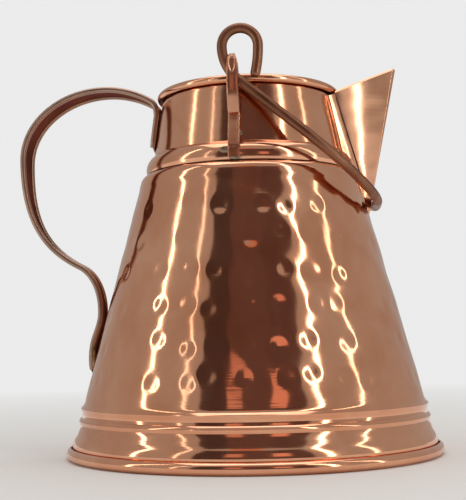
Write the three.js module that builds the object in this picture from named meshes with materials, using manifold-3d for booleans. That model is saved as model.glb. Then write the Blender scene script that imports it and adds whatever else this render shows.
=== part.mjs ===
// A two-litre hammered copper watering can: a flared body with a wired foot, a neck with a wired rim,
// a folded beak, a strap handle, and a wire bail that swings in two folded lugs.
// Millimetres, +Z up. The origin is on the can's axis, in the plane it stands on. The beak points
// along +X, the strap handle along -X, and the two lugs stand on the -Y (front) and +Y (rear) sides.

import * as THREE from "three";
import { mergeVertices } from "three/addons/utils/BufferGeometryUtils.js";
import { ConvexGeometry } from "three/addons/geometries/ConvexGeometry.js";
import Module from "manifold-3d";

const wasm = await Module();
wasm.setup();

const vec2 = (x, y) => new THREE.Vector2(x, y);

// ---- Driving dimensions ----

const GAP = 0.3; // between pieces that touch on the real can
const SHEET = 0.9; // body and beak sheet
const NECK_SHEET = 0.8;
const ROUND_SEGMENTS = 48; // facets round the can

// Body: a straight cone above a flared skirt
const CONE_TOP = { r: 54.3, z: 127 };
const CONE_BOTTOM = { r: 81.7, z: 25 };
const FOOT_BEAD = { r: 87.1, z: 2.8, radius: 2.8 }; // the rolled edge that the can stands on
const FOOT_WIRE_RADIUS = 1.55;
const BASE_PLATE = { radius: 83.7, underside: 1, thickness: 1, flangeTop: 8.5 };

// Neck: a raised band over the joint with the body, then a cone up to the rolled rim
const BAND_BOTTOM = 135.1;
const NECK_BOTTOM = { r: 46.3, z: 145.5 };
const NECK_TOP = { r: 42.5, z: 171 };
const RIM_BEAD = { r: 42.9, z: 173.4, radius: 1.9 };
const RIM_WIRE_RADIUS = 0.8;

// Beak: a sheet folded to a V, which tapers to a point on the body
const BEAK_TIP = { x: 72.6, z: 184.8 };
const BEAK_VERTEX = { x: 57.6, z: 112 };
const BEAK_RIM = { x: 41.5, halfWidth: 13.2, z: 171 }; // where its top edges meet the neck
const BEAK_FOLD_RADIUS = 3.4; // at the tip
const BEAK_HALF_ANGLE = Math.atan2(BEAK_RIM.halfWidth, BEAK_TIP.x + BEAK_FOLD_RADIUS - BEAK_RIM.x);
const POURING_WINDOW = { halfWidth: 10, top: 168, vertex: 148 }; // cut in the neck behind the beak

// Side handle: a strap with rolled edges, wider over the arch than at its foot
const STRAP_WIDTH = 12.3; // at the foot
const STRAP_WIDENING = 5.5; // over the arch
const STRAP_TAPER = { bottom: 95, top: 150 }; // heights between which it widens
const STRAP_WEB = 1.2;
const STRAP_EDGE_RADIUS = 1.15;

// Bail: one wire with an eye bent at each end
const WIRE_RADIUS = 2.3;
const BAIL_HALF_WIDTH = 49; // centre planes of its two eyes
const BAIL_SLOPE = THREE.MathUtils.degToRad(40); // of its legs, down towards the beak
const LEG_START = { x: 0, z: 171 };
const LEG_LENGTH = 80.65; // along the slope from LEG_START to the crown
const CROWN_CORNER_RADIUS = 42.4;
const EYE_CENTRE = { x: 0.6, z: 186.7 };
const EYE_RADIUS = 8.2;
const EYE_FLANK_RADIUS = 20; // from the eye's side into the leg

// Lugs: a strip folded over each eye
const LUG_X = -2.9;
const LUG_WIDTH = 5.2;
// Half width and height of its tip's rounding
const LUG_TIP = [vec2(2.6, 174), vec2(2.45, 176), vec2(2.25, 179.5), vec2(1.9, 181), vec2(1.45, 182.2)];
const LUG_TOP_HALF_WIDTH = 1.1;
const LUG_SHEET = 1.2;
const LUG_FOLD_CENTRE = { y: BAIL_HALF_WIDTH, z: 179.6 };
const LUG_FOLD_RADIUS = 3.2;
const LUG_FOOT = { y: 51.5, bottom: 136, top: 141 };

// ---- Materials ----

const copper = (color, roughness) => new THREE.MeshStandardMaterial({ color, roughness, metalness: 1 });
const polishedCopper = copper(0xb87a5c, 0.12);
const wireCopper = copper(0x8a5236, 0.34);
const platedCopper = copper(0xa9684a, 0.22);
const tinnedSheet = new THREE.MeshStandardMaterial({ color: 0xb4aea6, roughness: 0.35, metalness: 1 });

// ---- Geometry helpers ----

/** An indexed closed mesh with nothing but positions, its faces pointing out. */
function closedSolid(geometry) {
  const bare = geometry.clone();
  bare.deleteAttribute("normal");
  bare.deleteAttribute("uv");
  const merged = mergeVertices(bare, 1e-4);
  if (signedVolume(merged) < 0) {
    merged.index.array.reverse();
  }
  return merged;
}

function signedVolume(geometry) {
  const [a, b, c] = [new THREE.Vector3(), new THREE.Vector3(), new THREE.Vector3()];
  const { index, attributes } = geometry;
  let volume = 0;
  for (let i = 0; i < index.count; i += 3) {
    a.fromBufferAttribute(attributes.position, index.getX(i));
    b.fromBufferAttribute(attributes.position, index.getX(i + 1));
    c.fromBufferAttribute(attributes.position, index.getX(i + 2));
    volume += a.dot(b.cross(c)) / 6;
  }
  return volume;
}

function toManifold(geometry) {
  const solid = closedSolid(geometry);
  const vertProperties = new Float32Array(solid.attributes.position.array);
  const triVerts = new Uint32Array(solid.index.array);
  return new wasm.Manifold(new wasm.Mesh({ numProp: 3, vertProperties, triVerts }));
}

function fromManifold(manifold) {
  const { vertProperties, triVerts } = manifold.getMesh();
  const geometry = new THREE.BufferGeometry();
  geometry.setAttribute("position", new THREE.BufferAttribute(new Float32Array(vertProperties), 3));
  geometry.setIndex(new THREE.BufferAttribute(new Uint32Array(triVerts), 1));
  return geometry;
}

function piece(name, geometry, material) {
  const solid = closedSolid(geometry);
  solid.computeVertexNormals();
  const mesh = new THREE.Mesh(solid, material);
  mesh.name = name;
  return mesh;
}

/** Points on an arc, from one angle to another in degrees, both ends included. */
function arc(centreX, centreY, radius, fromDegrees, toDegrees, steps) {
  return Array.from({ length: steps + 1 }, (_, i) => {
    const angle = THREE.MathUtils.degToRad(THREE.MathUtils.lerp(fromDegrees, toDegrees, i / steps));
    return vec2(centreX + radius * Math.cos(angle), centreY + radius * Math.sin(angle));
  });
}

/** The line moved sideways by a distance, to the left of its direction. */
function offsetLine(line, distance) {
  const leftOf = (from, to) => vec2(from.y - to.y, to.x - from.x).normalize();
  return line.map((point, i) => {
    const before = leftOf(line[Math.max(i - 1, 0)], line[Math.max(i, 1)]);
    const last = line.length - 1;
    const after = leftOf(line[Math.min(i, last - 1)], line[Math.min(i + 1, last)]);
    const bisector = before.clone().add(after).normalize();
    return point.clone().addScaledVector(bisector, distance / bisector.dot(after));
  });
}

/** The outline of a sheet of this thickness whose middle runs along the line. */
function sheetOutline(line, thickness) {
  return [...offsetLine(line, thickness / 2), ...offsetLine(line, -thickness / 2).reverse()];
}

/** A closed (radius, height) outline turned about the can's axis. */
function turned(outline) {
  return new THREE.LatheGeometry([...outline, outline[0].clone()], ROUND_SEGMENTS).rotateX(Math.PI / 2);
}

/** A ring of wire inside a rolled bead. */
function wireRing(bead, wireRadius) {
  const sides = 6;
  return turned(arc(bead.r, bead.z, wireRadius, 0, 360, sides).slice(0, sides));
}

// ---- Body ----

/** The middle of the body sheet over its shoulder and down its cone. */
const shoulderAndCone = [
  vec2(49, 134.4),
  vec2(51, 133.7),
  vec2(52.25, 132.5),
  vec2(53.05, 130.7),
  vec2(CONE_TOP.r - SHEET / 2, CONE_TOP.z),
  vec2(CONE_BOTTOM.r - SHEET / 2, CONE_BOTTOM.z),
];

/** The middle of the body sheet, from the collar inside the neck band down into the foot's roll. */
function bodyLine() {
  const collar = [vec2(47.75, 141), vec2(47.75, 135.9)];
  const upperLine = [vec2(82.6, 23.6), vec2(81.9, 22)];
  const lowerLine = [vec2(82.2, 19.4), vec2(83.5, 17.9), vec2(82.9, 16.4)];
  const flare = [vec2(83.7, 13.8), vec2(84.8, 11), vec2(86.2, 8.2), vec2(86.5, 6.4)];
  const rollRadius = FOOT_BEAD.radius - SHEET / 2;
  const innerRoll = arc(FOOT_BEAD.r, FOOT_BEAD.z, rollRadius, 110, 270, 4);
  const outerRoll = arc(FOOT_BEAD.r, FOOT_BEAD.z, rollRadius, 270, 436, 4).slice(1);
  return [...collar, ...shoulderAndCone, ...upperLine, ...lowerLine, ...flare, ...innerRoll, ...outerRoll];
}

function bodyShell() {
  return turned(sheetOutline(bodyLine(), SHEET));
}

/** A shallow pan that closes the bottom, set up inside the foot's roll. */
function basePlate() {
  const { radius, underside, thickness, flangeTop } = BASE_PLATE;
  const bend = 2;
  return turned([
    vec2(0, underside),
    ...arc(radius - bend, underside + bend, bend, 270, 360, 2),
    vec2(radius, flangeTop),
    vec2(radius - thickness, flangeTop),
    vec2(radius - thickness, underside + bend),
    vec2(radius - bend, underside + thickness),
    vec2(0, underside + thickness),
  ]);
}

// ---- Neck ----

/** The middle of the neck sheet up its band and its cone. */
const bandAndCone = [
  vec2(49.75, BAND_BOTTOM),
  vec2(50.2, 137.2),
  vec2(49.9, 139.4),
  vec2(48.8, 141.5),
  vec2(47.3, 143),
  vec2(46.15, 143.9),
  vec2(NECK_BOTTOM.r - NECK_SHEET / 2, NECK_BOTTOM.z),
  vec2(NECK_TOP.r - NECK_SHEET / 2, NECK_TOP.z - 0.8),
];

/** The middle of the neck sheet, from the band's lower edge up into the rim's roll. */
function neckLine() {
  const { r, z, radius } = RIM_BEAD;
  return [...bandAndCone, ...arc(r, z, radius - NECK_SHEET / 2, 195, -75, 7)];
}

/** The V-shaped window through the neck behind the beak. The rim runs on whole above it. */
function pouringWindow() {
  const { halfWidth, top, vertex } = POURING_WINDOW;
  const outline = new THREE.Shape([vec2(-halfWidth, top), vec2(0, vertex), vec2(halfWidth, top)]);
  const depth = 30;
  const wedge = new THREE.ExtrudeGeometry(outline, { depth, bevelEnabled: false });
  wedge.rotateX(Math.PI / 2).rotateZ(Math.PI / 2).translate(NECK_TOP.r - depth / 2, 0, 0);
  return toManifold(wedge);
}

function neckCollar() {
  const whole = toManifold(turned(sheetOutline(neckLine(), NECK_SHEET)));
  return fromManifold(whole.subtract(pouringWindow()));
}

/** The can without its beak, filled in and grown by the gap: what the beak's edges are cut against. */
function filledCan() {
  const bodySkin = offsetLine(shoulderAndCone, SHEET / 2 + GAP);
  const neckSkin = offsetLine(bandAndCone, -NECK_SHEET / 2 - GAP);
  const body = turned([vec2(0, bodySkin[0].y), ...bodySkin, vec2(0, CONE_BOTTOM.z)]);
  const beadReach = RIM_BEAD.radius + GAP;
  const above = 200;
  const neck = turned([
    vec2(0, shoulderAndCone[1].y),
    vec2(neckSkin[0].x, shoulderAndCone[1].y),
    ...neckSkin,
    vec2(RIM_BEAD.r + beadReach, RIM_BEAD.z - beadReach),
    vec2(RIM_BEAD.r + beadReach, RIM_BEAD.z + beadReach),
    vec2(RIM_BEAD.r, above),
    vec2(0, above),
  ]);
  return toManifold(body).add(toManifold(neck));
}

// ---- Beak ----

/**
 * A solid wedge with the beak's outside shape. Moving it back by setBack and rounding its fold with
 * a smaller radius gives the beak's inside; stretch carries its top past the beak's top edges.
 */
function beakWedge(setBack, foldRadius, stretch) {
  const halfAngle = BEAK_HALF_ANGLE;
  const virtualTip = BEAK_TIP.x + BEAK_FOLD_RADIUS * (1 / Math.sin(halfAngle) - 1) - setBack;
  const foldCentre = virtualTip - foldRadius / Math.sin(halfAngle);
  const openDegrees = 90 - THREE.MathUtils.radToDeg(halfAngle);
  const fold = arc(foldCentre, 0, foldRadius, -openDegrees, openDegrees, 6);
  const backX = 30;
  const backHalfWidth = (virtualTip - backX) * Math.tan(halfAngle);
  const plan = [vec2(backX, -backHalfWidth), ...fold, vec2(backX, backHalfWidth)];
  const rise = (BEAK_TIP.z - BEAK_RIM.z) / (BEAK_TIP.x - BEAK_RIM.x);
  const vertex = new THREE.Vector3(BEAK_VERTEX.x - setBack, 0, BEAK_VERTEX.z);
  const top = plan.map(({ x, y }) => {
    const edge = new THREE.Vector3(x, y, BEAK_RIM.z + rise * (x + setBack - BEAK_RIM.x));
    return edge.sub(vertex).multiplyScalar(stretch).add(vertex);
  });
  return toManifold(new ConvexGeometry([vertex, ...top]));
}

function beakShell() {
  const outside = beakWedge(0, BEAK_FOLD_RADIUS, 1);
  const inside = beakWedge(SHEET / Math.sin(BEAK_HALF_ANGLE), BEAK_FOLD_RADIUS - SHEET, 1.2);
  return fromManifold(outside.subtract(inside).subtract(filledCan()));
}

// ---- Side handle ----

/** The middle of the strap in the plane Y = 0: up the neck, over the arch and down to the body. */
function strapPath() {
  const at = (x, z) => new THREE.Vector3(x, 0, z);
  const path = new THREE.CurvePath();
  path.add(new THREE.LineCurve3(at(-46.9, 149.4), at(-44.8, 164.6)));
  path.add(new THREE.QuadraticBezierCurve3(at(-44.8, 164.6), at(-44.5, 170.8), at(-48, 172.9)));
  const cubic = (...points) => path.add(new THREE.CubicBezierCurve3(...points));
  cubic(at(-48, 172.9), at(-75.4, 189.3), at(-112.1, 172.1), at(-112.1, 145.3));
  cubic(at(-112.1, 145.3), at(-112.1, 117.5), at(-104.5, 101.9), at(-84.6, 91.8));
  cubic(at(-84.6, 91.8), at(-77.1, 88), at(-74, 78.2), at(-74, 69.7));
  cubic(at(-74, 69.7), at(-74, 60.6), at(-78.8, 58.3), at(-78.8, 46));
  path.add(new THREE.LineCurve3(at(-78.8, 46), at(-78.6, 41.4)));
  return path;
}

/** The strap's section: a flat web with a round roll along each edge. */
function strapSection() {
  const edgeCentre = STRAP_WIDTH / 2 - STRAP_EDGE_RADIUS;
  const webAngle = THREE.MathUtils.radToDeg(Math.asin(STRAP_WEB / 2 / STRAP_EDGE_RADIUS));
  const right = arc(edgeCentre, 0, STRAP_EDGE_RADIUS, -180 + webAngle, 180 - webAngle, 6);
  const left = arc(-edgeCentre, 0, STRAP_EDGE_RADIUS, webAngle, 360 - webAngle, 6);
  return new THREE.Shape([...right, ...left]);
}

function handleStrap() {
  const steps = 64;
  const options = { steps, extrudePath: strapPath(), bevelEnabled: false };
  const strap = new THREE.ExtrudeGeometry(strapSection(), options);
  const { position } = strap.attributes;
  for (let i = 0; i < position.count; i++) {
    const share = THREE.MathUtils.smoothstep(position.getZ(i), STRAP_TAPER.bottom, STRAP_TAPER.top);
    const outwards = Math.sign(position.getY(i)) * (STRAP_WIDENING / 2) * share;
    position.setY(i, position.getY(i) + outwards);
  }
  return strap;
}

// ---- Bail ----

/** The front half of the bail's middle line, from the eye's cut end to the middle of the crown. */
function bailHalf() {
  const slope = vec2(Math.cos(BAIL_SLOPE), -Math.sin(BAIL_SLOPE));
  const flankTop = vec2(EYE_CENTRE.x - EYE_RADIUS, EYE_CENTRE.z);
  const endDegrees = -14; // the cut end bends in a little under the eye
  const endRadius = 58;
  const cutEnd = arc(EYE_CENTRE.x + EYE_RADIUS - endRadius, EYE_CENTRE.z, endRadius, endDegrees, 0, 4);
  const eye = arc(EYE_CENTRE.x, EYE_CENTRE.z, EYE_RADIUS, 0, 180, 10).slice(1);
  const flankCentre = vec2(flankTop.x + EYE_FLANK_RADIUS, flankTop.y);
  const turnEnd = 270 - THREE.MathUtils.radToDeg(BAIL_SLOPE);
  const flank = arc(flankCentre.x, flankCentre.y, EYE_FLANK_RADIUS, 180, turnEnd, 5).slice(1);
  const inPlane = [...cutEnd, ...eye, ...flank].map(({ x, y }) => new THREE.Vector3(x, -BAIL_HALF_WIDTH, y));
  const onLeg = (distance, y) =>
    new THREE.Vector3(LEG_START.x + slope.x * distance, y, LEG_START.z + slope.y * distance);
  const straight = LEG_LENGTH - CROWN_CORNER_RADIUS;
  const leg = [0.12, 0.4, 0.7, 1].map((share) => onLeg(straight * share, -BAIL_HALF_WIDTH));
  const corner = arc(0, 0, CROWN_CORNER_RADIUS, 0, 90, 12)
    .slice(1)
    .map(({ x, y }) => onLeg(straight + y, CROWN_CORNER_RADIUS - BAIL_HALF_WIDTH - x));
  return [...inPlane, ...leg, ...corner];
}

function bailWire() {
  const front = bailHalf();
  const crown = front.at(-1).clone().setY(0);
  const rear = front.map((point) => point.clone().setY(-point.y)).reverse();
  const path = new THREE.CatmullRomCurve3([...front, crown, ...rear], false, "centripetal");
  const section = new THREE.Shape(arc(0, 0, WIRE_RADIUS, 0, 315, 7));
  return new THREE.ExtrudeGeometry(section, { steps: 124, extrudePath: path, bevelEnabled: false });
}

// ---- Lugs ----

/** A lug for one side: the strip's side view run across its width, narrowed over the fold. */
function lug(side) {
  const { y, z } = LUG_FOLD_CENTRE;
  const line = [
    vec2(LUG_FOOT.y, LUG_FOOT.bottom),
    vec2(LUG_FOOT.y - 0.1, LUG_FOOT.top),
    vec2(46.6, 157),
    vec2(y - LUG_FOLD_RADIUS, 165),
    ...arc(y, z, LUG_FOLD_RADIUS, 180, 0, 8),
    vec2(y + LUG_FOLD_RADIUS, 164.5),
    vec2(48.25, 156.8),
  ];
  const sideView = new THREE.Shape(sheetOutline(line, LUG_SHEET));
  const strip = new THREE.ExtrudeGeometry(sideView, { depth: LUG_WIDTH, bevelEnabled: false });
  // The side view's (y, z) becomes (Y, Z), and its depth runs along X.
  strip.rotateX(Math.PI / 2).rotateZ(Math.PI / 2).translate(LUG_X - LUG_WIDTH / 2, 0, 0);

  const tipTop = z + LUG_FOLD_RADIUS + LUG_SHEET;
  const half = LUG_WIDTH / 2;
  const rightEdge = [vec2(half, LUG_FOOT.bottom - 1), ...LUG_TIP, vec2(LUG_TOP_HALF_WIDTH, tipTop)];
  const leftEdge = rightEdge.map(({ x, y: height }) => vec2(-x, height)).reverse();
  const frontView = new THREE.Shape([...rightEdge, ...leftEdge]);
  const outline = new THREE.ExtrudeGeometry(frontView, { depth: 20, bevelEnabled: false });
  outline.rotateX(Math.PI / 2).translate(LUG_X, y + 10, 0);
  const folded = fromManifold(toManifold(strip).intersect(toManifold(outline)));
  return folded.scale(1, side, 1);
}

// ---- The can ----

const can = new THREE.Group();
can.name = "copper_watering_can";
can.add(
  piece("body_shell", bodyShell(), polishedCopper),
  piece("foot_wire", wireRing(FOOT_BEAD, FOOT_WIRE_RADIUS), wireCopper),
  piece("base_plate", basePlate(), tinnedSheet),
  piece("neck_collar", neckCollar(), polishedCopper),
  piece("rim_wire", wireRing(RIM_BEAD, RIM_WIRE_RADIUS), wireCopper),
  piece("beak_spout", beakShell(), polishedCopper),
  piece("handle_strap", handleStrap(), platedCopper),
  piece("lug_front", lug(-1), platedCopper),
  piece("lug_rear", lug(1), platedCopper),
  piece("bail_wire", bailWire(), wireCopper),
);

export default can;
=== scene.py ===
import math
import random

import bmesh
import bpy
import numpy as np
from mathutils import Matrix, Vector


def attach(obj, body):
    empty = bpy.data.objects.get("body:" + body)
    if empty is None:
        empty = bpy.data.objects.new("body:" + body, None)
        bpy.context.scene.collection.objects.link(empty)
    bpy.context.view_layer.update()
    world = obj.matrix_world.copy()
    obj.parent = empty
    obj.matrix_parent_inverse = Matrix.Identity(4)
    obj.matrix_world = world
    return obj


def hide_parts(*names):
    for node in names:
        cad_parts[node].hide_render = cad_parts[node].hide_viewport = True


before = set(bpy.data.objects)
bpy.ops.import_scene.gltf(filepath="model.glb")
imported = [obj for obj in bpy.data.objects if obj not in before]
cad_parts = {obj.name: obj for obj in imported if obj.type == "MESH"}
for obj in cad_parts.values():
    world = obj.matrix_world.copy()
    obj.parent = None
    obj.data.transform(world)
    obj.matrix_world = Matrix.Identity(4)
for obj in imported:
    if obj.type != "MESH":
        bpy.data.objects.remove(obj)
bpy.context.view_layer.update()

MM = 0.001
CAN, BAIL = "can", "bail"

# ---- Dimensions of the can, in millimetres, as in its CAD source ----

SHEET = 0.9
NECK_SHEET = 0.8
CONE_TOP = (54.3, 127.0)
CONE_BOTTOM = (81.7, 25.0)
CONE_TILT = math.atan2(CONE_BOTTOM[0] - CONE_TOP[0], CONE_TOP[1] - CONE_BOTTOM[1])
FOOT_BEAD = (87.1, 2.8, 2.8)
RIM_BEAD = (42.9, 173.4, 1.9)
BEAK_TIP = (72.6, 184.8)
BEAK_VERTEX = (57.6, 112.0)
BEAK_RIM = (41.5, 13.2, 171.0)  # x, half width and height where its top edges meet the neck
BEAK_FOLD = 3.4
BEAK_BULGE = 1.25  # of its two faces, which are not quite flat
BEAK_HALF_ANGLE = math.atan2(BEAK_RIM[1], BEAK_TIP[0] + BEAK_FOLD - BEAK_RIM[0])
BASE_SEGMENTS = 160
WINDOW_HALF_WIDTH, WINDOW_TOP, WINDOW_VERTEX = 10, 168, 148  # cut in the neck behind the beak
STRAP_WIDTH, STRAP_WIDENING = 12.3, 5.5  # at its foot, and how much wider it is over the arch
STRAP_TAPER = (95, 150)  # heights between which it widens
STRAP_EDGE_RADIUS = 1.15
WIRE_RADIUS = 2.3
BAIL_HALF_WIDTH = 49
BAIL_SLOPE = math.radians(40)
LEG_START_HEIGHT, LEG_LENGTH, CROWN_CORNER_RADIUS = 171, 80.65, 42.4
EYE_X, EYE_HEIGHT, EYE_RADIUS, EYE_FLANK_RADIUS = 0.6, 186.7, 8.2, 20
CUT_END_RADIUS, CUT_END_ANGLE = 58, -14  # the wire's cut end bends in under the eye
LUG_X, LUG_SHEET = -2.9, 1.2
LUG_FOLD_HEIGHT, LUG_FOLD_RADIUS = 179.6, 3.2

# ---- Sizes that only this script has ----

ROLL_RADIUS, WEB_HALF_THICKNESS = 1.4, 0.5  # of the strap's rolled edges and its web
BEAK_ROWS, BEAK_FACE_COLUMNS, BEAK_FOLD_STEPS = 44, 36, 20
BEAK_FIRST_SHARE = 0.03  # of the way from the beak's lower vertex to its top edge
BEAK_BACK = 31.0  # x where its sheet ends, inside the can
BEAK_CLEARANCE, RIM_CLEARANCE = 0.15, 0.25  # between the beak's cut edges and the can
SEAM_LAP_FOOT, SEAM_LAP_TOP = 1.5, 2.8  # from the can's skin to the seam, at its two ends
SEAM_FIRST_ROW, SEAM_LAST_ROW = 12, 42  # of the beak's rows
SEAM_RADIUS = 0.36
SIDE_NAMES = {-1: "front", 1: "rear"}

RANDOM = random.Random(11)


# ---- Lines ----

def arc(cx, cy, radius, start, end, steps):
    """Points on an arc from one angle to another, in degrees."""
    angles = np.radians(np.linspace(start, end, steps + 1))
    return np.stack([cx + radius * np.cos(angles), cy + radius * np.sin(angles)], 1)


def offset_line(line, distance):
    """The open line moved to its left."""
    line = np.asarray(line, float)
    step = np.diff(line, axis=0)
    normal = np.stack([-step[:, 1], step[:, 0]], 1)
    normal /= np.linalg.norm(normal, axis=1)[:, None]
    before = np.vstack([normal[:1], normal])
    after = np.vstack([normal, normal[-1:]])
    bisector = before + after
    bisector /= np.linalg.norm(bisector, axis=1)[:, None]
    return line + bisector * (distance / np.sum(bisector * after, axis=1))[:, None]


def subdivided(line, spacing):
    """The open line with points added so that none are further apart than spacing."""
    out = [np.asarray(line[0], float)]
    for a, b in zip(line[:-1], line[1:]):
        a, b = np.asarray(a, float), np.asarray(b, float)
        count = max(1, math.ceil(np.linalg.norm(b - a) / spacing))
        out += [a + (b - a) * (i + 1) / count for i in range(count)]
    return np.array(out)


def bezier(points, steps):
    """A Bezier curve through its two end points."""
    t = np.linspace(0, 1, steps + 1)[:, None]
    points = [np.array(p, float) for p in points]
    while len(points) > 1:
        points = [a * (1 - t) + b * t for a, b in zip(points[:-1], points[1:])]
    return points[0]


def smooth_path(points, steps):
    """A centripetal Catmull-Rom curve through the points, evenly spaced."""
    pts = np.asarray(points, float)
    pts = np.vstack([2 * pts[0] - pts[1], pts, 2 * pts[-1] - pts[-2]])
    out = []
    for p0, p1, p2, p3 in zip(pts[:-3], pts[1:-2], pts[2:-1], pts[3:]):
        t0 = 0.0
        t1 = t0 + np.linalg.norm(p1 - p0) ** 0.5
        t2 = t1 + np.linalg.norm(p2 - p1) ** 0.5
        t3 = t2 + np.linalg.norm(p3 - p2) ** 0.5
        t = np.linspace(t1, t2, 9)[:-1, None]
        a1 = (t1 - t) / (t1 - t0) * p0 + (t - t0) / (t1 - t0) * p1
        a2 = (t2 - t) / (t2 - t1) * p1 + (t - t1) / (t2 - t1) * p2
        a3 = (t3 - t) / (t3 - t2) * p2 + (t - t2) / (t3 - t2) * p3
        b1 = (t2 - t) / (t2 - t0) * a1 + (t - t0) / (t2 - t0) * a2
        b2 = (t3 - t) / (t3 - t1) * a2 + (t - t1) / (t3 - t1) * a3
        out.append((t2 - t) / (t2 - t1) * b1 + (t - t1) / (t2 - t1) * b2)
    dense = np.vstack(out + [pts[-2][None]])
    length = np.concatenate([[0], np.cumsum(np.linalg.norm(np.diff(dense, axis=0), axis=1))])
    even = np.linspace(0, length[-1], steps + 1)
    return np.stack([np.interp(even, length, dense[:, i]) for i in range(3)], 1)


# ---- Meshes ----

def make_object(name, vertices, faces, materials, body, replaced=(), slot=None, indices=None, sharp=35):
    """A smooth-shaded piece from millimetre vertices, on its body."""
    mesh = bpy.data.meshes.new(name)
    mesh.from_pydata((np.asarray(vertices) * MM).tolist(), [], [list(map(int, f)) for f in faces])
    for material in materials:
        mesh.materials.append(material)
    if indices is not None:
        mesh.polygons.foreach_set("material_index", np.asarray(indices, np.int32))
    mesh.shade_smooth()
    mesh.set_sharp_from_angle(angle=math.radians(sharp))
    mesh.update()
    obj = bpy.data.objects.new(name, mesh)
    bpy.context.scene.collection.objects.link(obj)
    if body:
        finish_piece(obj, body, replaced)
    return obj


def finish_piece(obj, body, replaced=()):
    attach(obj, body)
    if replaced:
        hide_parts(*replaced)


def turned(outline, segments, shape=None):
    """Vertices and faces of a closed (radius, height) outline turned about the axis."""
    outline = np.asarray(outline, float)
    n = len(outline)
    theta = np.linspace(0, 2 * np.pi, segments, endpoint=False)
    r = np.repeat(outline[:, 0][:, None], segments, 1)
    z = np.repeat(outline[:, 1][:, None], segments, 1)
    angle = np.repeat(theta[None, :], n, 0)
    if shape:
        r, z = shape(angle, r, z)
    vertices = np.stack([r * np.cos(angle), r * np.sin(angle), z], -1).reshape(-1, 3)
    i, j = np.meshgrid(np.arange(n), np.arange(segments), indexing="ij")
    i2, j2 = (i + 1) % n, (j + 1) % segments
    faces = np.stack([i * segments + j, i2 * segments + j, i2 * segments + j2, i * segments + j2], -1)
    faces = faces.reshape(-1, 4)
    area = np.sum(outline[:, 0] * np.roll(outline[:, 1], -1) - np.roll(outline[:, 0], -1) * outline[:, 1])
    return vertices, (faces if area < 0 else faces[:, ::-1])


def swept(path, section, normals, binormals):
    """A closed section carried along a path. section is a function of the share along the path."""
    rings = []
    last = len(path) - 1
    for k, (point, normal, binormal) in enumerate(zip(path, normals, binormals)):
        profile = np.asarray(section(k / last))
        rings.append(point + profile[:, :1] * binormal + profile[:, 1:] * normal)
    count = len(rings[0])
    vertices = np.vstack(rings)
    faces = []
    for k in range(last):
        for m in range(count):
            m2 = (m + 1) % count
            faces.append([k * count + m, k * count + m2, (k + 1) * count + m2, (k + 1) * count + m])
    faces.append(list(range(count))[::-1])
    faces.append([last * count + m for m in range(count)])
    return vertices, faces


def outward(vertices, faces):
    """The faces turned so that the closed mesh has a positive volume."""
    v = np.asarray(vertices, float)
    volume = 0.0
    for f in faces:
        for a, b in zip(f[1:-1], f[2:]):
            volume += np.dot(v[f[0]], np.cross(v[a], v[b]))
    return faces if volume > 0 else [list(f)[::-1] for f in faces]


def boolean(obj, cutter, operation="DIFFERENCE"):
    """obj's mesh joined with or cut by the cutter, which is then removed."""
    modifier = obj.modifiers.new("cut", "BOOLEAN")
    modifier.operation = operation
    modifier.solver = "EXACT"
    modifier.object = cutter
    bpy.context.view_layer.update()
    result = bpy.data.meshes.new_from_object(obj.evaluated_get(bpy.context.evaluated_depsgraph_get()))
    obj.modifiers.clear()
    obj.data = result
    bpy.data.objects.remove(cutter)


# ---- Materials ----

def material(name, colour, roughness, metallic=1.0):
    mat = bpy.data.materials.new(name)
    mat.use_nodes = True
    shader = mat.node_tree.nodes["Principled BSDF"]
    shader.inputs["Base Color"].default_value = (*colour, 1)
    shader.inputs["Roughness"].default_value = roughness
    shader.inputs["Metallic"].default_value = metallic
    return mat, mat.node_tree, shader


def object_mapping(tree, scale):
    coords = tree.nodes.new("ShaderNodeTexCoord")
    mapping = tree.nodes.new("ShaderNodeMapping")
    mapping.inputs["Scale"].default_value = scale
    tree.links.new(coords.outputs["Object"], mapping.inputs["Vector"])
    return mapping.outputs["Vector"]


def noise(tree, vector, scale, detail=3.0, distortion=0.0):
    node = tree.nodes.new("ShaderNodeTexNoise")
    node.inputs["Scale"].default_value = scale
    node.inputs["Detail"].default_value = detail
    node.inputs["Distortion"].default_value = distortion
    tree.links.new(vector, node.inputs["Vector"])
    return node.outputs["Fac"]


def ramp(tree, value, stops):
    node = tree.nodes.new("ShaderNodeValToRGB")
    elements = node.color_ramp.elements
    while len(elements) < len(stops):
        elements.new(0.5)
    for element, (position, colour) in zip(elements, stops):
        element.position = position
        element.color = (*colour, 1)
    tree.links.new(value, node.inputs["Fac"])
    return node.outputs["Color"]


def map_range(tree, value, low, high, new_low, new_high):
    node = tree.nodes.new("ShaderNodeMapRange")
    for socket, number in zip(("From Min", "From Max", "To Min", "To Max"), (low, high, new_low, new_high)):
        node.inputs[socket].default_value = number
    tree.links.new(value, node.inputs["Value"])
    return node.outputs["Result"]


def bump(tree, height, distance, strength, normal=None):
    node = tree.nodes.new("ShaderNodeBump")
    node.inputs["Distance"].default_value = distance
    node.inputs["Strength"].default_value = strength
    tree.links.new(height, node.inputs["Height"])
    if normal:
        tree.links.new(normal, node.inputs["Normal"])
    return node.outputs["Normal"]


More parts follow.
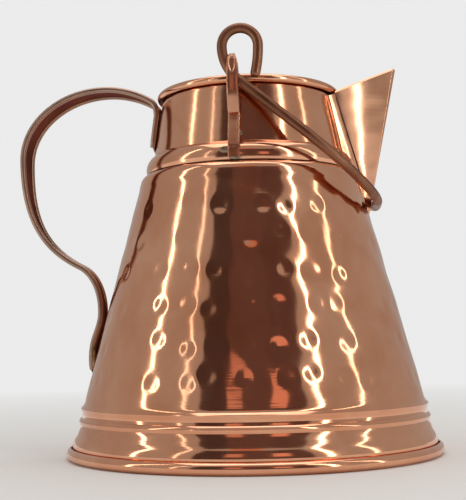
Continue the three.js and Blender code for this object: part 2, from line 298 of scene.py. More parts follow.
def copper(name, light, mid, dark, roughness, lines=0.0, wear=0.25):
    """Polished copper: cloudy colour, wiped and brushed marks, and, if spun, fine lines round the axis."""
    mat, tree, shader = material(name, mid, roughness)
    plain = object_mapping(tree, (1, 1, 1))
    cloud = noise(tree, plain, 38, 5, 0.6)
    colour = ramp(tree, cloud, [(0.28, dark), (0.5, mid), (0.72, light)])
    tree.links.new(colour, shader.inputs["Base Color"])
    smears = noise(tree, object_mapping(tree, (1, 1, 0.25)), 160, 4, 0.4)
    tree.links.new(map_range(tree, smears, 0.3, 0.7, roughness * (1 - wear), roughness * (1 + wear)),
                   shader.inputs["Roughness"])
    scratches = noise(tree, object_mapping(tree, (400, 400, 60)), 1.0, 4, 0.2)
    normal = bump(tree, scratches, 0.00005, 0.06 if lines else 0.012)
    if lines:
        round_lines = noise(tree, object_mapping(tree, (2, 2, 900)), 1.0, 2)
        split = tree.nodes.new("ShaderNodeSeparateXYZ")
        tree.links.new(plain, split.inputs[0])
        low = map_range(tree, split.outputs["Z"], 0.028, 0.046, 1.0, 0.22)
        masked = tree.nodes.new("ShaderNodeMath")
        masked.operation = "MULTIPLY"
        tree.links.new(round_lines, masked.inputs[0])
        tree.links.new(low, masked.inputs[1])
        normal = bump(tree, masked.outputs[0], 0.0003, 0.08 + lines, normal)
    tree.links.new(normal, shader.inputs["Normal"])
    return mat


POLISHED = copper("polished_copper", (0.88, 0.47, 0.29), (0.83, 0.41, 0.25), (0.76, 0.34, 0.19), 0.10, 0.05)
NECK_COPPER = copper("neck_copper", (0.88, 0.47, 0.29), (0.81, 0.40, 0.24), (0.72, 0.32, 0.18), 0.13, 0.12)
BEAK_COPPER = copper("beak_copper", (0.78, 0.42, 0.26), (0.69, 0.35, 0.21), (0.56, 0.27, 0.15), 0.13, 0.05)
WORKED = copper("worked_copper", (0.76, 0.40, 0.26), (0.64, 0.32, 0.20), (0.46, 0.21, 0.12), 0.24, 0.0, 0.4)
WIRE = copper("wire_copper", (0.36, 0.17, 0.10), (0.27, 0.12, 0.07), (0.18, 0.075, 0.043), 0.42, 0.0, 0.3)
ROLLED = copper("rolled_copper", (0.50, 0.33, 0.25), (0.42, 0.275, 0.21), (0.31, 0.19, 0.14), 0.34, 0.0, 0.2)


def tin():
    mat, tree, shader = material("tin_lining", (0.6, 0.58, 0.55), 0.35)
    cloud = noise(tree, object_mapping(tree, (1, 1, 1)), 60, 6, 1.0)
    stops = [(0.3, (0.42, 0.39, 0.36)), (0.55, (0.62, 0.60, 0.57)), (0.8, (0.72, 0.70, 0.68))]
    tree.links.new(ramp(tree, cloud, stops), shader.inputs["Base Color"])
    wiped = noise(tree, object_mapping(tree, (1, 1, 1)), 220, 5, 1.5)
    tree.links.new(map_range(tree, wiped, 0.3, 0.7, 0.26, 0.48), shader.inputs["Roughness"])
    tree.links.new(bump(tree, wiped, 0.0002, 0.25), shader.inputs["Normal"])
    return mat


def solder():
    mat, tree, shader = material("solder", (0.35, 0.31, 0.24), 0.38)
    cloud = noise(tree, object_mapping(tree, (1, 1, 1)), 180, 5, 0.8)
    stops = [(0.3, (0.13, 0.11, 0.07)), (0.5, (0.34, 0.26, 0.17)), (0.7, (0.52, 0.46, 0.38))]
    tree.links.new(ramp(tree, cloud, stops), shader.inputs["Base Color"])
    tree.links.new(bump(tree, cloud, 0.0004, 0.4), shader.inputs["Normal"])
    return mat


def web_shade_and_seam():
    """Dark copper that paints shade into the strap's recessed web and gives the seams their dark joint
    colour; dull where it is seen at a low angle too.
    """
    mat = copper("web_shade_and_seam_copper", (0.24, 0.095, 0.055), (0.16, 0.06, 0.034), (0.09, 0.034, 0.02), 0.42, 0.0, 0.3)
    inputs = mat.node_tree.nodes["Principled BSDF"].inputs
    inputs["Metallic"].default_value = 0.8
    inputs["Specular IOR Level"].default_value = 0.2
    inputs["Specular Tint"].default_value = (0.5, 0.26, 0.17, 1)
    return mat


# Painted shade for the strap's web, and the dark colour of the seams.
WEB = web_shade_and_seam()
TIN = tin()
SOLDER = solder()


# ---- Body ----

SHOULDER = [(49, 134.4), (50.1, 134.15), (51, 133.7), (51.75, 133.15), (52.25, 132.5), (52.75, 131.7),
            (53.05, 130.7)]
CONE = [(CONE_TOP[0] - SHEET / 2, CONE_TOP[1]), (CONE_BOTTOM[0] - SHEET / 2, CONE_BOTTOM[1])]


def body_line():
    """The middle of the body sheet, from the collar inside the neck band down into the foot's roll."""
    collar = [(47.75, 141), (47.75, 135.9)]
    lines = [(82.0, 24.3), (82.55, 23.6), (82.3, 22.7), (81.9, 22), (81.95, 20.6), (82.2, 19.4), (83.1, 18.7)]
    flare = [(83.5, 17.9), (83.25, 17.0), (82.9, 16.4), (83.15, 15.2), (83.7, 13.8), (84.8, 11), (85.7, 9.4)]
    r, z, radius = FOOT_BEAD
    roll = arc(r, z, radius - SHEET / 2, 110, 436, 30)
    line = [*collar, *SHOULDER, (53.55, 128.8), *CONE, *lines, *flare, (86.2, 8.2), (86.5, 6.4)]
    return np.vstack([subdivided(line, 1.45), roll])


DENT_ROWS = (114.5, 99.5, 84.0, 68.5, 53.0, 38.0)
DENT_SPACING = 14.2
MISSED_SHARE = 0.06


def make_dents():
    """Hammer marks in loose rows round the cone: (angle, height, radius, depth)."""
    dents = []
    for row, z in enumerate(DENT_ROWS):
        radius = CONE_TOP[0] + math.tan(CONE_TILT) * (CONE_TOP[1] - z)
        count = round(2 * math.pi * radius / DENT_SPACING)
        for k in range(count):
            if RANDOM.random() < MISSED_SHARE:
                continue
            angle = 2 * math.pi * (k + 0.5 * (row % 2) + RANDOM.uniform(-0.2, 0.2)) / count
            height = z + RANDOM.uniform(-2.6, 2.6)
            dents.append((angle, height, RANDOM.uniform(3.9, 5.2), RANDOM.uniform(0.24, 0.46)))
    return dents


DENTS = make_dents()
# Slow unevenness of the cone: turns round the axis, pace up it, phase and size
WAVES = [
    (RANDOM.randint(5, 15), RANDOM.uniform(0.10, 0.32), RANDOM.uniform(0, 6.3), RANDOM.uniform(0.02, 0.05))
    for _ in range(10)
]


def hammered(angle, r, z):
    """The cone beaten in at its dents, and slightly uneven all over."""
    inward = np.zeros_like(r)
    for dent_angle, height, radius, depth in DENTS:
        across = (np.mod(angle - dent_angle + np.pi, 2 * np.pi) - np.pi) * r
        along = (z - height) / math.cos(CONE_TILT)
        share = (across ** 2 + along ** 2) / radius ** 2
        inward += depth * np.clip(1 - share, 0, 1) ** 1.6
        inward -= 0.06 * depth * np.exp(-((np.sqrt(share) - 1.15) / 0.18) ** 2)
    for turns, pace, phase, size in WAVES:
        inward += size * np.sin(turns * angle + pace * z + phase)
    fade = np.clip((z - 26) / 6, 0, 1) * np.clip((127 - z) / 6, 0, 1)
    inward *= fade * fade * (3 - 2 * fade)
    return r - inward * math.cos(CONE_TILT), z - inward * math.sin(CONE_TILT)


def tinned_inside(outline, segments, half, bottom, top):
    """Material indices: the second half of a sheet's outline is lined between two heights."""
    lined = (np.arange(len(outline)) >= half) & (outline[:, 1] > bottom) & (outline[:, 1] < top)
    return np.repeat(lined.astype(int)[:, None], segments, 1).reshape(-1)


def outer_first(line, thickness):
    """A sheet's outline with its outer skin first."""
    left, right = offset_line(line, thickness / 2), offset_line(line, -thickness / 2)
    outer, inner = (left, right) if left[:, 0].mean() > right[:, 0].mean() else (right, left)
    return np.vstack([outer, inner[::-1]]), len(line)


def make_body():
    outline, half = outer_first(body_line(), SHEET)
    segments = 300
    vertices, faces = turned(outline, segments, hammered)
    indices = tinned_inside(outline, segments, half, 8.4, 142)
    make_object("body_hammered", vertices, faces, [POLISHED, TIN], CAN, ["body_shell"], "polished_copper",
                indices)


def make_base():
    """A shallow pan with a slightly uneven bottom. Its two middle faces are fans round a centre point."""
    corner = arc(81.7, 3, 2, 270, 360, 8)
    rings = [(r, 2 + 0.12 * math.sin(r * 0.35)) for r in (6, 20, 34, 48, 62, 76)]
    outline = [(0.4, 1), *corner, (83.7, 8.3), (83.5, 8.5), (82.9, 8.5), (82.7, 8.3), (82.7, 3), (81.7, 2)]
    vertices, faces = turned(outline + rings[::-1] + [(0.4, 2)], BASE_SEGMENTS)
    centre = len(vertices)
    last_ring = (len(outline) + len(rings)) * BASE_SEGMENTS
    vertices = np.vstack([vertices, [[0, 0, 1], [0, 0, 2]]])
    keep = [f for f in faces.tolist() if not all(v < BASE_SEGMENTS or v >= last_ring for v in f)]
    for j in range(BASE_SEGMENTS):
        after = (j + 1) % BASE_SEGMENTS
        keep.append([centre, after, j])
        keep.append([centre + 1, last_ring + j, last_ring + after])
    make_object("base_pan", vertices, keep, [TIN], CAN, ["base_plate"], "tinned_sheet")


# ---- Neck ----

BAND = [(49.75, 135.1), (50.0, 136.0), (50.2, 137.2), (50.15, 138.3), (49.9, 139.4), (49.45, 140.5),
        (48.8, 141.5), (48.1, 142.35), (47.3, 143), (46.6, 143.5), (46.15, 143.9)]
NECK_CONE = [(46.3 - NECK_SHEET / 2, 145.5), (42.5 - NECK_SHEET / 2, 170.2)]


def rippled(angle, r, z):
    """The neck's spun ripples and slight unevenness."""
    inside = np.clip((z - 145.5) / 2, 0, 1) * np.clip((170 - z) / 2, 0, 1)
    spun = 0.012 * np.sin(z * 1.35)
    ripple = spun + 0.035 * np.sin(0.34 * z + 3 * angle) + 0.04 * np.sin(7 * angle + 0.2 * z)
    return r + inside * ripple, z


def wedge_object(name, corners):
    """A convex solid round the points."""
    mesh = bpy.data.meshes.new(name)
    obj = bpy.data.objects.new(name, mesh)
    bpy.context.scene.collection.objects.link(obj)
    bm = bmesh.new()
    for corner in corners:
        bm.verts.new(Vector(corner) * MM)
    hull = bmesh.ops.convex_hull(bm, input=bm.verts)
    loose = [v for v in hull["geom_interior"] if isinstance(v, bmesh.types.BMVert)]
    bmesh.ops.delete(bm, geom=loose, context="VERTS")
    bmesh.ops.recalc_face_normals(bm, faces=bm.faces)
    bm.to_mesh(mesh)
    bm.free()
    return obj


def smooth(obj, angle=30):
    obj.data.shade_smooth()
    obj.data.set_sharp_from_angle(angle=math.radians(angle))


def make_neck():
    r, z, radius = RIM_BEAD
    line = np.vstack([subdivided(BAND + NECK_CONE, 0.9), arc(r, z, radius - NECK_SHEET / 2, 195, -75, 24)])
    outline, half = outer_first(line, NECK_SHEET)
    segments = 240
    vertices, faces = turned(outline, segments, rippled)
    indices = tinned_inside(outline, segments, half, 130, 171.5)
    neck = make_object("neck_rippled", vertices, faces, [NECK_COPPER, TIN], None, indices=indices)
    half_width = WINDOW_HALF_WIDTH
    triangle = [(-half_width, WINDOW_TOP), (half_width, WINDOW_TOP), (0, WINDOW_VERTEX)]
    through = (27, 57)
    boolean(neck, wedge_object("window", [(x, y, height) for x in through for y, height in triangle]))
    smooth(neck)
    finish_piece(neck, CAN, ["neck_collar"])


# ---- Beak ----

def beak_surface(set_back, fold_radius):
    """Points of one skin of the beak, as rows from its apex up to its top edge, over both faces."""
    virtual_tip = BEAK_TIP[0] + BEAK_FOLD * (1 / math.sin(BEAK_HALF_ANGLE) - 1) - set_back
    centre = virtual_tip - fold_radius / math.sin(BEAK_HALF_ANGLE)
    opening = 90 - math.degrees(BEAK_HALF_ANGLE)
    fold = arc(centre, 0, fold_radius, -opening, opening, BEAK_FOLD_STEPS)
    share = np.linspace(1, 0, BEAK_FACE_COLUMNS + 1)[:-1]
    face_x = fold[0, 0] + (BEAK_BACK - fold[0, 0]) * share
    reach = (fold[0, 0] - face_x) / (fold[0, 0] - BEAK_RIM[0])
    bulge = BEAK_BULGE * 4 * np.clip(reach * (1 - reach), 0, 1)
    face_y = -(virtual_tip - face_x) * math.tan(BEAK_HALF_ANGLE) - bulge * math.cos(BEAK_HALF_ANGLE)
    face = np.stack([face_x + bulge * math.sin(BEAK_HALF_ANGLE), face_y], 1)
    plan = np.vstack([face, fold, (face * [1, -1])[::-1]])
    straight_x = np.concatenate([face_x, fold[:, 0], face_x[::-1]])
    rise = (BEAK_TIP[1] - BEAK_RIM[2]) / (BEAK_TIP[0] - BEAK_RIM[0])
    top = np.column_stack([plan, BEAK_RIM[2] + rise * (straight_x + set_back - BEAK_RIM[0])])
    vertex = np.array([BEAK_VERTEX[0] - set_back, 0, BEAK_VERTEX[1]])
    rows = [vertex + (top - vertex) * v for v in np.linspace(BEAK_FIRST_SHARE, 1, BEAK_ROWS)]
    points = np.array(rows)
    turn = np.linspace(0, 1, len(plan))[None, :]
    height = points[:, :, 2]
    uneven = 0.05 * np.sin(0.30 * height + 9 * turn) + 0.02 * np.sin(0.71 * height - 14 * turn + 1)
    points[:, :, 1] += uneven * np.sin(2 * np.pi * turn)
    return points


def make_sheet(name, outer, inner):
    """A closed sheet between two skins of the same grid."""
    rows, columns = outer.shape[:2]
    count = rows * columns
    vertices = np.vstack([outer.reshape(-1, 3), inner.reshape(-1, 3)])
    faces = []
    for i in range(rows - 1):
        for j in range(columns - 1):
            a, b = i * columns + j, (i + 1) * columns + j
            faces.append([a, a + 1, b + 1, b])
            faces.append([count + a, count + b, count + b + 1, count + a + 1])
    edge = list(range(columns)) + [i * columns + columns - 1 for i in range(1, rows)]
    edge += [(rows - 1) * columns + j for j in range(columns - 2, -1, -1)]
    edge += [i * columns for i in range(rows - 2, 0, -1)]
    for a, b in zip(edge, edge[1:] + edge[:1]):
        faces.append([b, a, count + a, count + b])
    return make_object(name, vertices, outward(vertices, faces), [], None)


def filled_can():
    """The can without its beak, filled in and grown a little: what the beak's edges are cut against."""
    body = offset_line(SHOULDER + CONE, SHEET / 2 + BEAK_CLEARANCE)
    neck = offset_line(BAND + NECK_CONE, -NECK_SHEET / 2 - BEAK_CLEARANCE)
    rim_radius, rim_height, bead = RIM_BEAD
    reach = bead + RIM_CLEARANCE
    axis, under_band, above = 0.01, 133.7, 200
    rim = [(rim_radius + reach, rim_height - reach), (rim_radius + reach, rim_height + reach)]
    first = [(axis, body[0][1]), *body, (axis, CONE_BOTTOM[1])]
    second = [(axis, under_band), (neck[0][0], under_band), *neck, *rim, (rim_radius, above), (axis, above)]
    segments = 192
    can = make_object("filled_body", *turned(first, segments), [], None)
    boolean(can, make_object("filled_neck", *turned(second, segments), [], None), "UNION")
    return can


def make_beak():
    back = SHEET / math.sin(BEAK_HALF_ANGLE)
    beak = make_sheet("beak_folded", beak_surface(0, BEAK_FOLD), beak_surface(back, BEAK_FOLD - SHEET))
    boolean(beak, filled_can())
    beak.data.materials.append(BEAK_COPPER)
    smooth(beak, 25)
    finish_piece(beak, CAN, ["beak_spout"])


# ---- Solder ----

def can_radius(height):
    """Outside radius of the body and neck sheets at each height."""
    body = offset_line(SHOULDER + CONE, SHEET / 2)
    neck = offset_line(BAND + NECK_CONE, -NECK_SHEET / 2)
    on_body = np.interp(height, body[::-1, 1], body[::-1, 0])
    return np.where(height < neck[0, 1], on_body, np.interp(height, neck[:, 1], neck[:, 0]))


def frames(path, reference):
    tangent = np.gradient(path, axis=0)
    tangent /= np.linalg.norm(tangent, axis=1)[:, None]
    normals, binormals = [], []
    normal = np.array(reference, float)
    for t in tangent:
        normal = normal - np.dot(normal, t) * t
        normal /= np.linalg.norm(normal)
        normals.append(normal)
        binormals.append(np.cross(t, normal))
    return np.array(normals), np.array(binormals)


def tube(name, path, radius, mat, body, sides, replaced=(), slot=None, reference=(0, 0.3, 1)):
    """A round bar along a path. radius is a function of the share along the path."""
    normals, binormals = frames(path, reference)
    angles = np.linspace(0, 2 * np.pi, sides, endpoint=False)

    def section(share):
        return np.stack([np.cos(angles), np.sin(angles)], 1) * radius(share)

    vertices, faces = swept(path, section, normals, binormals)
    return make_object(name, vertices, outward(vertices, faces), [mat], body, replaced, slot)


def seam_path(side):
    """A straight line down a face of the beak, beside the can. Its two ends stand at the laps' widths."""
    face = beak_surface(0, BEAK_FOLD)[:, :BEAK_FACE_COLUMNS + 1]
    from_can = np.hypot(face[:, :, 0], face[:, :, 1]) - can_radius(face[:, :, 2])

    def on_row(row, values, wanted):
        """The point of one row of the face where the values, which rise along it, reach the wanted one."""
        return np.array([np.interp(wanted, values, face[row, :, axis]) for axis in range(3)])

    foot = on_row(SEAM_FIRST_ROW, from_can[SEAM_FIRST_ROW], SEAM_LAP_FOOT)
    top = on_row(SEAM_LAST_ROW, from_can[SEAM_LAST_ROW], SEAM_LAP_TOP)
    lean = (top[0] - foot[0]) / (top[2] - foot[2])
    past_line = face[:, :, 0] - foot[0] - lean * (face[:, :, 2] - foot[2])
    rows = range(SEAM_FIRST_ROW, SEAM_LAST_ROW + 1)
    return np.array([on_row(row, past_line[row], 0) for row in rows]) * [1, -side, 1]


def make_seam(side):
    """The soldered lap where the beak's sheet meets the neck's: a raised line down each face."""
    path = smooth_path(seam_path(side), 110)
    wobble = [RANDOM.uniform(0.8, 1.2) for _ in range(16)]

    def width(share):
        ends = min(1.0, 12 * share, 12 * (1 - share)) ** 0.5
        return SEAM_RADIUS * (0.15 + 0.85 * ends) * np.interp(share * 15, range(16), wobble)

    tube(f"beak_seam_{SIDE_NAMES[side]}", path, width, WEB, CAN, 10)


def blob(name, centre, size, seed):
    """A flattened, lumpy drop of solder. size is its half width in x, y and z."""
    rng = random.Random(seed)
    phases = [
        (rng.randint(2, 5), rng.randint(1, 4), rng.uniform(0, 6.3), rng.uniform(0.03, 0.09)) for _ in range(6)
    ]
    rows, columns = 18, 28
    vertices, faces = [(0, 0, 1)], []
    for i in range(1, rows):
        for j in range(columns):
            a, b = math.pi * i / rows, 2 * math.pi * j / columns
            lump = 1 + sum(s * math.sin(p * b + q * a + phase) * math.sin(a) for p, q, phase, s in phases)
            out = lump * math.sin(a)
            vertices.append((out * math.cos(b), out * math.sin(b), lump * math.cos(a)))
    vertices.append((0, 0, -1))
    for j in range(columns):
        j2 = (j + 1) % columns
        faces.append([0, 1 + j, 1 + j2])
        for i in range(rows - 2):
            a = 1 + i * columns
            faces.append([a + j, a + columns + j, a + columns + j2, a + j2])
        a = 1 + (rows - 2) * columns
        faces.append([a + j, len(vertices) - 1, a + j2])
    vertices = np.array(vertices) * np.array(size) + np.array(centre)
    make_object(name, vertices, outward(vertices, faces), [SOLDER], CAN)


# ---- Side handle ----

def handle_path():
    """The middle of the strap in the plane Y = 0: up the neck, over the arch and down to the body."""
    tab = bezier([(-46.9, 149.4), (-44.8, 164.6)], 14)
    bend = bezier([(-44.8, 164.6), (-44.5, 170.8), (-48, 172.9)], 16)
    arch = bezier([(-48, 172.9), (-75.4, 189.3), (-112.1, 172.1), (-112.1, 145.3)], 60)
    down = bezier([(-112.1, 145.3), (-112.1, 117.5), (-104.5, 101.9), (-84.6, 91.8)], 50)
    knee = bezier([(-84.6, 91.8), (-77.1, 88), (-74, 78.2), (-74, 69.7)], 24)
    leg = bezier([(-74, 69.7), (-74, 60.6), (-78.8, 58.3), (-78.8, 46)], 22)
    foot = bezier([(-78.8, 46), (-78.6, 41.4)], 5)
    flat = np.vstack([tab, bend[1:], arch[1:], down[1:], knee[1:], leg[1:], foot[1:]])
    return np.stack([flat[:, 0], np.zeros(len(flat)), flat[:, 1]], 1)


def make_handle():
    path = handle_path()
    tangent = np.gradient(path, axis=0)
    tangent /= np.linalg.norm(tangent, axis=1)[:, None]
    binormals = np.tile([0.0, 1.0, 0.0], (len(path), 1))
    normals = np.cross(tangent, binormals)
    edge, roll, web = STRAP_WIDTH / 2 - STRAP_EDGE_RADIUS, ROLL_RADIUS, WEB_HALF_THICKNESS
    start = math.degrees(math.asin(web / roll))
    right = arc(edge, 0, roll, -180 + start, 180 - start, 14)
    left = arc(-edge, 0, roll, start, 360 - start, 14)
    across = np.linspace(edge - roll, roll - edge, 9)[1:-1]
    top = [(x, web - 0.12 * math.cos(x / edge * math.pi / 2)) for x in across]
    under = [(-x, -z) for x, z in top]
    profile = np.vstack([right, top, left, under])

    def section(share):
        ends = min(share, 1 - share) * len(path)
        return profile * (0.90 + 0.10 * min(1.0, ends / 3))

    vertices, faces = swept(path, section, normals, binormals)
    taper = np.clip((vertices[:, 2] - STRAP_TAPER[0]) / (STRAP_TAPER[1] - STRAP_TAPER[0]), 0, 1)
    widening = STRAP_WIDENING / 2 * taper * taper * (3 - 2 * taper)
    vertices[:, 1] += np.clip(vertices[:, 1] / (edge - roll), -1, 1) * widening
    count = len(profile)
    # The web's faces take the dark copper: painted shade in the recess between the rolled edges.
    on_web = np.zeros(count, int)
    on_web[len(right) - 1:len(right) + len(top)] = 1
    on_web[len(right) + len(top) + len(left) - 1:] = 1
    indices = list(np.tile(on_web, len(path) - 1)) + [0, 0]
    make_object("handle_rolled_edges", vertices, outward(vertices, faces), [ROLLED, WEB], CAN,
                ["handle_strap"], "worked_copper", indices, sharp=50)
    blob("handle_tab_solder", (-46.3, 0, 149.0), (0.9, 8.2, 1.7), 3)
    for side, name in SIDE_NAMES.items():
        blob(f"handle_foot_solder_{name}", (-78.0, side * 5.7, 48.5), (1.1, 1.1, 6.0), 5 + side)
    blob("handle_foot_solder_end", (-78.7, 0, 41.0), (1.1, 5.4, 1.2), 9)


# ---- Bail ----

def bail_half():
    """The front half of the bail's middle line, from the eye's cut end to the middle of the crown."""
    slope = np.array([math.cos(BAIL_SLOPE), -math.sin(BAIL_SLOPE)])
    cut = arc(EYE_X + EYE_RADIUS - CUT_END_RADIUS, EYE_HEIGHT, CUT_END_RADIUS, CUT_END_ANGLE, 0, 6)
    eye = arc(EYE_X, EYE_HEIGHT, EYE_RADIUS, 0, 180, 24)[1:]
    turn_end = 270 - math.degrees(BAIL_SLOPE)
    flank = arc(EYE_X - EYE_RADIUS + EYE_FLANK_RADIUS, EYE_HEIGHT, EYE_FLANK_RADIUS, 180, turn_end, 10)[1:]
    plane = [(x, -BAIL_HALF_WIDTH, z) for x, z in np.vstack([cut, eye, flank])]

    def on_leg(distance, y):
        return (distance * slope[0], y, LEG_START_HEIGHT + distance * slope[1])

    straight = LEG_LENGTH - CROWN_CORNER_RADIUS
    leg = [on_leg(straight * share, -BAIL_HALF_WIDTH) for share in (0.12, 0.4, 0.7, 1)]
    turn = arc(0, 0, CROWN_CORNER_RADIUS, 0, 90, 24)[1:]
    corner = [on_leg(straight + y, CROWN_CORNER_RADIUS - BAIL_HALF_WIDTH - x) for x, y in turn]
    return plane + leg + corner


def make_bail():
    front = bail_half()
    rear = [(x, -y, z) for x, y, z in front[::-1]][1:]
    steps = 560
    path = smooth_path(front + rear, steps)

    def width(share):
        end = min(share, 1 - share) * steps
        return WIRE_RADIUS * (0.80 + 0.20 * min(1.0, end / 2))

    tube("bail_bent_wire", path, width, WIRE, BAIL, 20, ["bail_wire"], "wire_copper", reference=(0, 1, 0))


# ---- Lugs ----

def make_lug(side):
    """A strip folded over the bail's eye, with bevelled edges and a groove down its outer leg."""
    y0, z0, radius = BAIL_HALF_WIDTH, LUG_FOLD_HEIGHT, LUG_FOLD_RADIUS
    under_fold = z0 - 0.8
    inner_leg = [(51.5, 136), (51.45, 138.5), (51.4, 141), (49.1, 149), (46.6, 157), (46.1, 161), (45.8, 165)]
    line = np.vstack([
        inner_leg,
        subdivided([(45.8, 165), (y0 - radius, under_fold)], 1.2)[1:],
        arc(y0, z0, radius, 180, 0, 20),
        subdivided([(y0 + radius, under_fold), (52.2, 174)], 1.0)[1:],
        bezier([(52.2, 174), (52.2, 165.5), (51.6, 163), (48.25, 156.8)], 16)[1:],
    ])
    line = subdivided(line, 0.6)
    path = np.stack([np.full(len(line), LUG_X), side * line[:, 0], line[:, 1]], 1)
    tangent = np.gradient(path, axis=0)
    tangent /= np.linalg.norm(tangent, axis=1)[:, None]
    binormals = np.tile([1.0, 0.0, 0.0], (len(path), 1))
    normals = np.cross(binormals, tangent) * -side
    heights = line[:, 1]
    outer_leg = np.arange(len(line)) > np.argmax(heights)

    def section(share):
        k = round(share * (len(path) - 1))
        z = heights[k]
        half = float(np.interp(z, [174, 176, 179.5, 181, 182.2, 183.4], [2.6, 2.45, 2.25, 1.9, 1.45, 1.15]))
        half *= 0.86 if k in (0, len(path) - 1) else 1.0
        x = np.cos(np.linspace(0, np.pi, 25)) * half
        face = LUG_SHEET / 2 - 0.36 * (np.abs(x) / half) ** 3

        def groove(width, depth):
            return depth * np.clip(1 - (np.abs(x) / width) ** 3, 0, 1)

        inner, outer = face.copy(), face.copy()
        if outer_leg[k]:
            width = float(np.interp(z, [173, 175, 178, 183], [0.5, 1.0, half - 0.6, half - 0.5]))
            outer -= groove(width, float(np.interp(z, [173, 175.5, 181, 182.6], [0, 0.6, 0.6, 0.15])))
        elif z < 158:
            inner -= groove(half - 0.6, float(np.interp(z, [136, 140, 153, 157], [0.05, 0.4, 0.4, 0])))
        return np.vstack([np.stack([x, inner], 1), np.stack([x[::-1], -outer[::-1]], 1)[1:-1]])

    vertices, faces = swept(path, section, normals, binormals)
    name = SIDE_NAMES[side]
    make_object(f"lug_grooved_{name}", vertices, outward(vertices, faces), [WORKED], CAN, [f"lug_{name}"],
                "worked_copper", sharp=28)
    blob(f"lug_foot_solder_{name}", (LUG_X - 3.6, side * 50.3, 139.4), (2.6, 0.6, 1.6), 21 + side)
    blob(f"lug_under_solder_{name}", (LUG_X + 0.6, side * 50.6, 135.6), (3.0, 0.8, 0.9), 31 + side)
    blob(f"lug_neck_solder_{name}", (LUG_X + 1.7, side * 46.0, 147.6), (1.9, 0.7, 1.5), 41 + side)


# ---- Studio ----

CAMERA_AZIMUTH, CAMERA_DISTANCE, CAMERA_HEIGHT = 4.5, 514, 54
CAMERA_YAW, CAMERA_PITCH, CAMERA_ROLL = 5.49, 4.944, 1.08  # degrees
CAMERA_LENS, CAMERA_SENSOR = 75.744, 36
BACKDROP = 0.86
STRIP_COLOUR = (1, 0.95, 0.86)
TOP_LIGHT_SIZE, TOP_LIGHT_PLACE, TOP_RADIANCE = 1.4, (0, 0.2, 1.6), 1.5  # metres


def strip(name, azimuth, distance, bottom, top, width, radiance):
    """A soft strip light that faces the can. Its azimuth is from the camera's direction, to the right."""
    height = (top - bottom) * MM
    data = bpy.data.lights.new(name, "AREA")
    data.shape = "RECTANGLE"
    data.size, data.size_y = width * MM, height
    data.color = STRIP_COLOUR
    data.energy = radiance * math.pi * data.size * data.size_y
    light = bpy.data.objects.new(name, data)
    angle = math.radians(azimuth + CAMERA_AZIMUTH)
    place = Vector((math.sin(angle) * distance, -math.cos(angle) * distance, (bottom + top) / 2))
    light.location = place * MM
    facing = Vector((0, 0, 0.09)) - light.location
    facing.z = 0
    light.rotation_euler = facing.to_track_quat("-Z", "Y").to_euler()
    light.visible_camera = False
    bpy.context.scene.collection.objects.link(light)


def panel(name, azimuth, distance, bottom, top, width, colour):
    """A flag or card that only reflections see."""
    mat = bpy.data.materials.new(name)
    mat.use_nodes = True
    tree = mat.node_tree
    tree.nodes.clear()
    glow = tree.nodes.new("ShaderNodeEmission")
    glow.inputs["Color"].default_value = (*colour, 1)
    glow.inputs["Strength"].default_value = 1.0
    output = tree.nodes.new("ShaderNodeOutputMaterial")
    tree.links.new(glow.outputs[0], output.inputs["Surface"])
    centre = math.radians(azimuth + CAMERA_AZIMUTH)
    half = math.atan2(width / 2, distance)
    vertices = []
    for angle in (centre - half, centre + half):
        for z in (bottom, top):
            vertices.append((math.sin(angle) * distance, -math.cos(angle) * distance, z))
    mesh = bpy.data.meshes.new(name)
    mesh.from_pydata([Vector(v) * MM for v in vertices], [], [[0, 1, 3, 2]])
    mesh.materials.append(mat)
    obj = bpy.data.objects.new(name, mesh)
    bpy.context.scene.collection.objects.link(obj)
    obj.visible_camera = False
    obj.visible_diffuse = False
    obj.visible_shadow = False


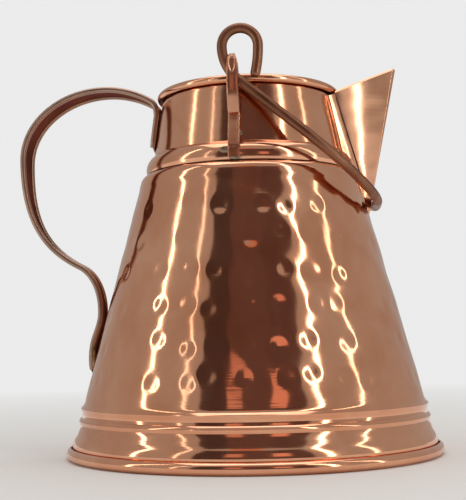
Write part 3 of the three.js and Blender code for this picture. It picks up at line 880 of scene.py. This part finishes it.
def make_studio():
    mesh = bpy.data.meshes.new("floor")
    half = 6.0
    corners = [(-half, -half, 0), (half, -half, 0), (half, half, 0), (-half, half, 0)]
    mesh.from_pydata(corners, [], [[0, 1, 2, 3]])
    floor_material, tree, shader = material("floor", (0.88, 0.88, 0.87), 0.7, 0.0)
    coords = tree.nodes.new("ShaderNodeTexCoord")
    length = tree.nodes.new("ShaderNodeVectorMath")
    length.operation = "LENGTH"
    tree.links.new(coords.outputs["Object"], length.inputs[0])
    fade = map_range(tree, length.outputs["Value"], 0.16, 0.75, 0.0, 1.0)
    glow = tree.nodes.new("ShaderNodeEmission")
    glow.inputs["Color"].default_value = (0.97, 0.97, 0.97, 1)
    glow.inputs["Strength"].default_value = BACKDROP
    blend = tree.nodes.new("ShaderNodeMixShader")
    tree.links.new(fade, blend.inputs["Fac"])
    tree.links.new(shader.outputs[0], blend.inputs[1])
    tree.links.new(glow.outputs[0], blend.inputs[2])
    tree.links.new(blend.outputs[0], tree.nodes["Material Output"].inputs["Surface"])
    mesh.materials.append(floor_material)
    floor = bpy.data.objects.new("floor", mesh)
    bpy.context.scene.collection.objects.link(floor)

    world = bpy.data.worlds.new("studio")
    world.use_nodes = True
    bpy.context.scene.world = world
    tree = world.node_tree
    tree.nodes.clear()
    path = tree.nodes.new("ShaderNodeLightPath")
    soft = tree.nodes.new("ShaderNodeBackground")
    soft.inputs["Color"].default_value = (1.0, 0.97, 0.93, 1)
    soft.inputs["Strength"].default_value = 0.42
    seen = tree.nodes.new("ShaderNodeBackground")
    seen.inputs["Color"].default_value = (0.97, 0.97, 0.97, 1)
    seen.inputs["Strength"].default_value = BACKDROP
    mix = tree.nodes.new("ShaderNodeMixShader")
    output = tree.nodes.new("ShaderNodeOutputWorld")
    tree.links.new(path.outputs["Is Camera Ray"], mix.inputs["Fac"])
    tree.links.new(soft.outputs[0], mix.inputs[1])
    tree.links.new(seen.outputs[0], mix.inputs[2])
    tree.links.new(mix.outputs[0], output.inputs["Surface"])

    strip("strip_left", -74, 700, 0, 1100, 36, 5.0)
    strip("strip_front_left", -46, 700, 60, 700, 20, 2.6)
    strip("strip_front_right", 43, 700, 0, 1100, 42, 7.0)
    strip("strip_right", 73, 700, 0, 1000, 28, 4.5)

    top = bpy.data.lights.new("top_soft", "AREA")
    top.shape = "RECTANGLE"
    top.size, top.size_y = TOP_LIGHT_SIZE, TOP_LIGHT_SIZE
    top.energy = TOP_RADIANCE * math.pi * TOP_LIGHT_SIZE ** 2
    light = bpy.data.objects.new("top_soft", top)
    light.location = TOP_LIGHT_PLACE
    light.visible_camera = False
    bpy.context.scene.collection.objects.link(light)

    panel("flag_left", -26, 640, 0, 640, 210, (0.075, 0.052, 0.05))
    panel("flag_middle", -3, 630, 0, 640, 330, (0.125, 0.078, 0.07))
    panel("flag_right", 21, 640, 0, 640, 270, (0.11, 0.07, 0.065))
    panel("warm_card_left", -12, 600, 120, 315, 100, (0.62, 0.32, 0.24))
    panel("warm_card_right", 15, 600, 120, 315, 105, (0.78, 0.40, 0.30))
    panel("warm_card_high", -6, 620, 640, 760, 260, (0.60, 0.26, 0.16))


def make_camera():
    yaw, pitch, roll = (math.radians(angle) for angle in (CAMERA_YAW, CAMERA_PITCH, CAMERA_ROLL))
    forward = Vector((-math.sin(yaw) * math.cos(pitch), math.cos(yaw) * math.cos(pitch), math.sin(pitch)))
    right = forward.cross(Vector((0, 0, 1))).normalized()
    up = right.cross(forward)
    leaned_right = right * math.cos(roll) - up * math.sin(roll)
    leaned_up = right * math.sin(roll) + up * math.cos(roll)
    data = bpy.data.cameras.new("camera")
    data.lens, data.sensor_width = CAMERA_LENS, CAMERA_SENSOR
    data.clip_start, data.clip_end = 0.01, 50
    camera = bpy.data.objects.new("camera", data)
    azimuth = math.radians(CAMERA_AZIMUTH)
    towards = Vector((math.sin(azimuth), -math.cos(azimuth), 0))
    place = (towards * CAMERA_DISTANCE + Vector((0, 0, CAMERA_HEIGHT))) * MM
    axes = Matrix((leaned_right, leaned_up, -forward)).transposed()
    camera.matrix_world = Matrix.Translation(place) @ axes.to_4x4()
    bpy.context.scene.collection.objects.link(camera)
    bpy.context.scene.camera = camera


make_camera()
make_studio()
make_body()
make_base()
make_neck()
make_beak()
for side in (-1, 1):
    make_seam(side)
    make_lug(side)
make_handle()
make_bail()
for node in ("foot_wire", "rim_wire"):
    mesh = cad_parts[node].data
    mesh.materials.clear()
    mesh.materials.append(WIRE)

view = bpy.context.scene.view_settings
view.view_transform = "Standard"
